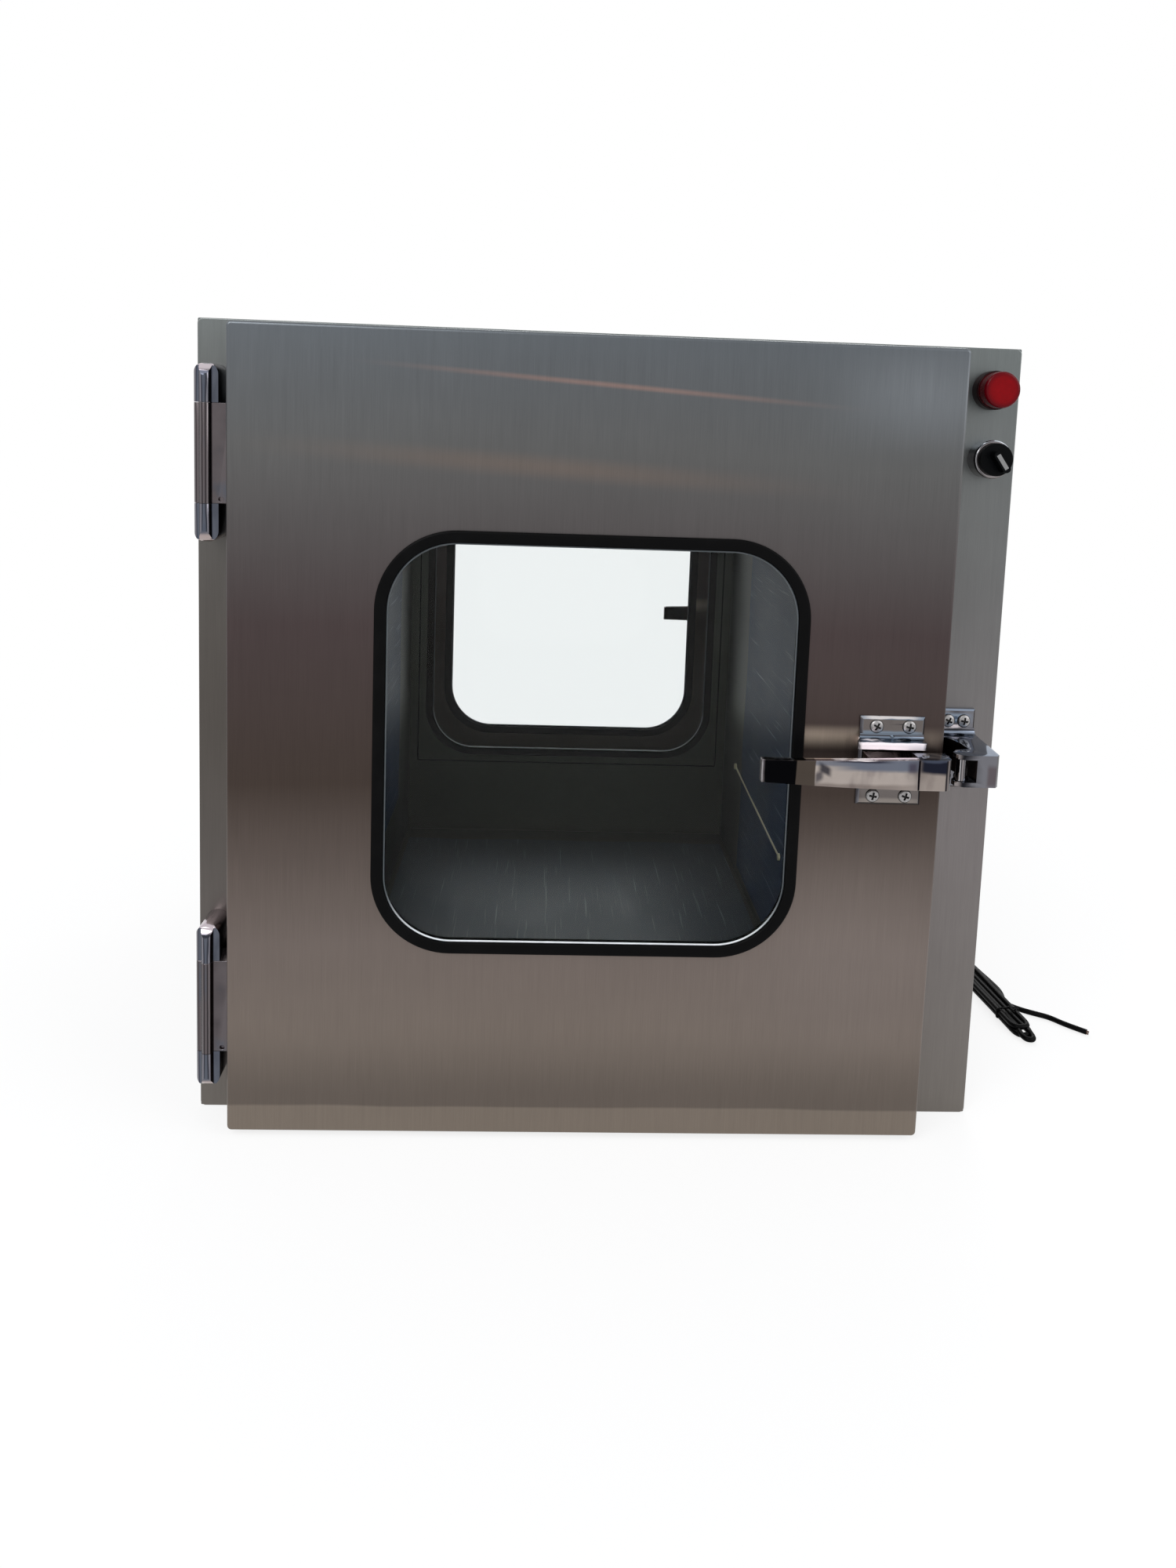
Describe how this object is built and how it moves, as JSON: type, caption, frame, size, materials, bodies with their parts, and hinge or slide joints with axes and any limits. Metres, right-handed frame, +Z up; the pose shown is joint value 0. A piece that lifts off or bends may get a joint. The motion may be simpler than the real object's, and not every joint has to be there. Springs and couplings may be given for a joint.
{
  "type": "cleanroom_pass_box",
  "caption": "Stainless cleanroom pass box with a glazed, latched door on both faces, ultraviolet lamp, pilot lamp and selector",
  "frame": {"origin": "middle of the cabinet's base, at the level of the surface it stands on", "axes": "+Z up; the front door faces -Y; hinges on -X, latches and controls on +X"},
  "size_m": [0.7842, 0.6972, 0.6224],
  "materials": {
    "brushed_stainless": "fine vertical grain",
    "chamber_stainless": "plain drawn sheet",
    "steel_screw": "bright",
    "chromed_metal": "satin to bright chrome",
    "window_glass": "clear",
    "lamp_glass": "clear quartz",
    "black_rubber": "smooth extruded",
    "seal_rubber": "soft hollow seal",
    "white_plastic": "moulded",
    "lamp_ballast_metal": "painted",
    "wire_plastic": "smooth",
    "dark_bezel": "moulded",
    "red_lens": "translucent",
    "black_plastic": "moulded",
    "pointer_plastic": "moulded",
    "cord_sheath": "PVC sheath"
  },
  "bodies": {
    "root": {"bottom_panel": "brushed_stainless", "cable_gland": "black_plastic", "chamber_ceiling": "chamber_stainless", "chamber_floor": "chamber_stainless", "chamber_left_wall": "chamber_stainless", "chamber_right_wall": "chamber_stainless", "chamber_wire": "wire_plastic", "cover_screws": "steel_screw", "front_face_frame": "brushed_stainless", "front_hinge_frame_halves": "chromed_metal", "front_keeper": "chromed_metal", "hinge_pins": "steel_screw", "keeper_screws": "steel_screw", "lamp_ballast": "lamp_ballast_metal", "left_side_panel": "brushed_stainless", "mains_hank": "cord_sheath", "mains_lead": "cord_sheath", "mains_tail": "cord_sheath", "panel_nuts": "steel_screw", "pilot_lamp_body": "dark_bezel", "pilot_lamp_lens": "red_lens", "rear_face_frame": "brushed_stainless", "rear_hinge_frame_halves": "chromed_metal", "rear_keeper": "chromed_metal", "right_side_panel": "brushed_stainless", "selector_body": "chromed_metal", "top_cover": "brushed_stainless", "tube_holders": "white_plastic", "ultraviolet_tube": "lamp_glass"},
    "front_door": {"front_door_back_pan": "brushed_stainless", "front_door_seal": "seal_rubber", "front_door_skin": "brushed_stainless", "front_hinge_leaves": "chromed_metal", "front_inner_gasket": "black_rubber", "front_inner_pane": "window_glass", "front_latch_base": "chromed_metal", "front_latch_screws": "steel_screw", "front_outer_gasket": "black_rubber", "front_outer_pane": "window_glass"},
    "rear_door": {"rear_door_back_pan": "brushed_stainless", "rear_door_seal": "seal_rubber", "rear_door_skin": "brushed_stainless", "rear_hinge_leaves": "chromed_metal", "rear_inner_gasket": "black_rubber", "rear_inner_pane": "window_glass", "rear_latch_base": "chromed_metal", "rear_latch_screws": "steel_screw", "rear_outer_gasket": "black_rubber", "rear_outer_pane": "window_glass"},
    "front_latch": {"front_latch_handle": "chromed_metal", "front_latch_head": "chromed_metal", "front_latch_pin": "steel_screw"},
    "rear_latch": {"rear_latch_handle": "chromed_metal", "rear_latch_head": "chromed_metal", "rear_latch_pin": "steel_screw"},
    "selector": {"selector_knob": "black_plastic", "selector_pointer": "pointer_plastic"},
    "front_roller": {"front_keeper_roller": "chromed_metal"},
    "rear_roller": {"rear_keeper_roller": "chromed_metal"}
  },
  "joints": [
    {"name": "front_door_hinge", "type": "hinge", "parent": "root", "child": "front_door", "pos_m": [-0.2955, -0.294, 0.3105], "axis": [0, 0, -1], "range_deg": [0, 120]},
    {"name": "rear_door_hinge", "type": "hinge", "parent": "root", "child": "rear_door", "pos_m": [-0.2955, 0.294, 0.3105], "axis": [0, 0, 1], "range_deg": [0, 120]},
    {"name": "front_latch_pivot", "type": "hinge", "parent": "front_door", "child": "front_latch", "pos_m": [0.234, -0.336, 0.3085], "axis": [0, 0, 1], "range_deg": [-8, 24]},
    {"name": "rear_latch_pivot", "type": "hinge", "parent": "rear_door", "child": "rear_latch", "pos_m": [0.234, 0.336, 0.3085], "axis": [0, 0, -1], "range_deg": [-8, 24]},
    {"name": "selector_turn", "type": "hinge", "parent": "root", "child": "selector", "pos_m": [0.288, -0.283, 0.536], "axis": [0, -1, 0], "range_deg": [0, 90]},
    {"name": "front_roller_spin", "type": "hinge", "parent": "root", "child": "front_roller", "pos_m": [0.2631, -0.329, 0.3085], "axis": [0, 0, 1], "continuous": true},
    {"name": "rear_roller_spin", "type": "hinge", "parent": "root", "child": "rear_roller", "pos_m": [0.2631, 0.329, 0.3085], "axis": [0, 0, 1], "continuous": true}
  ]
}
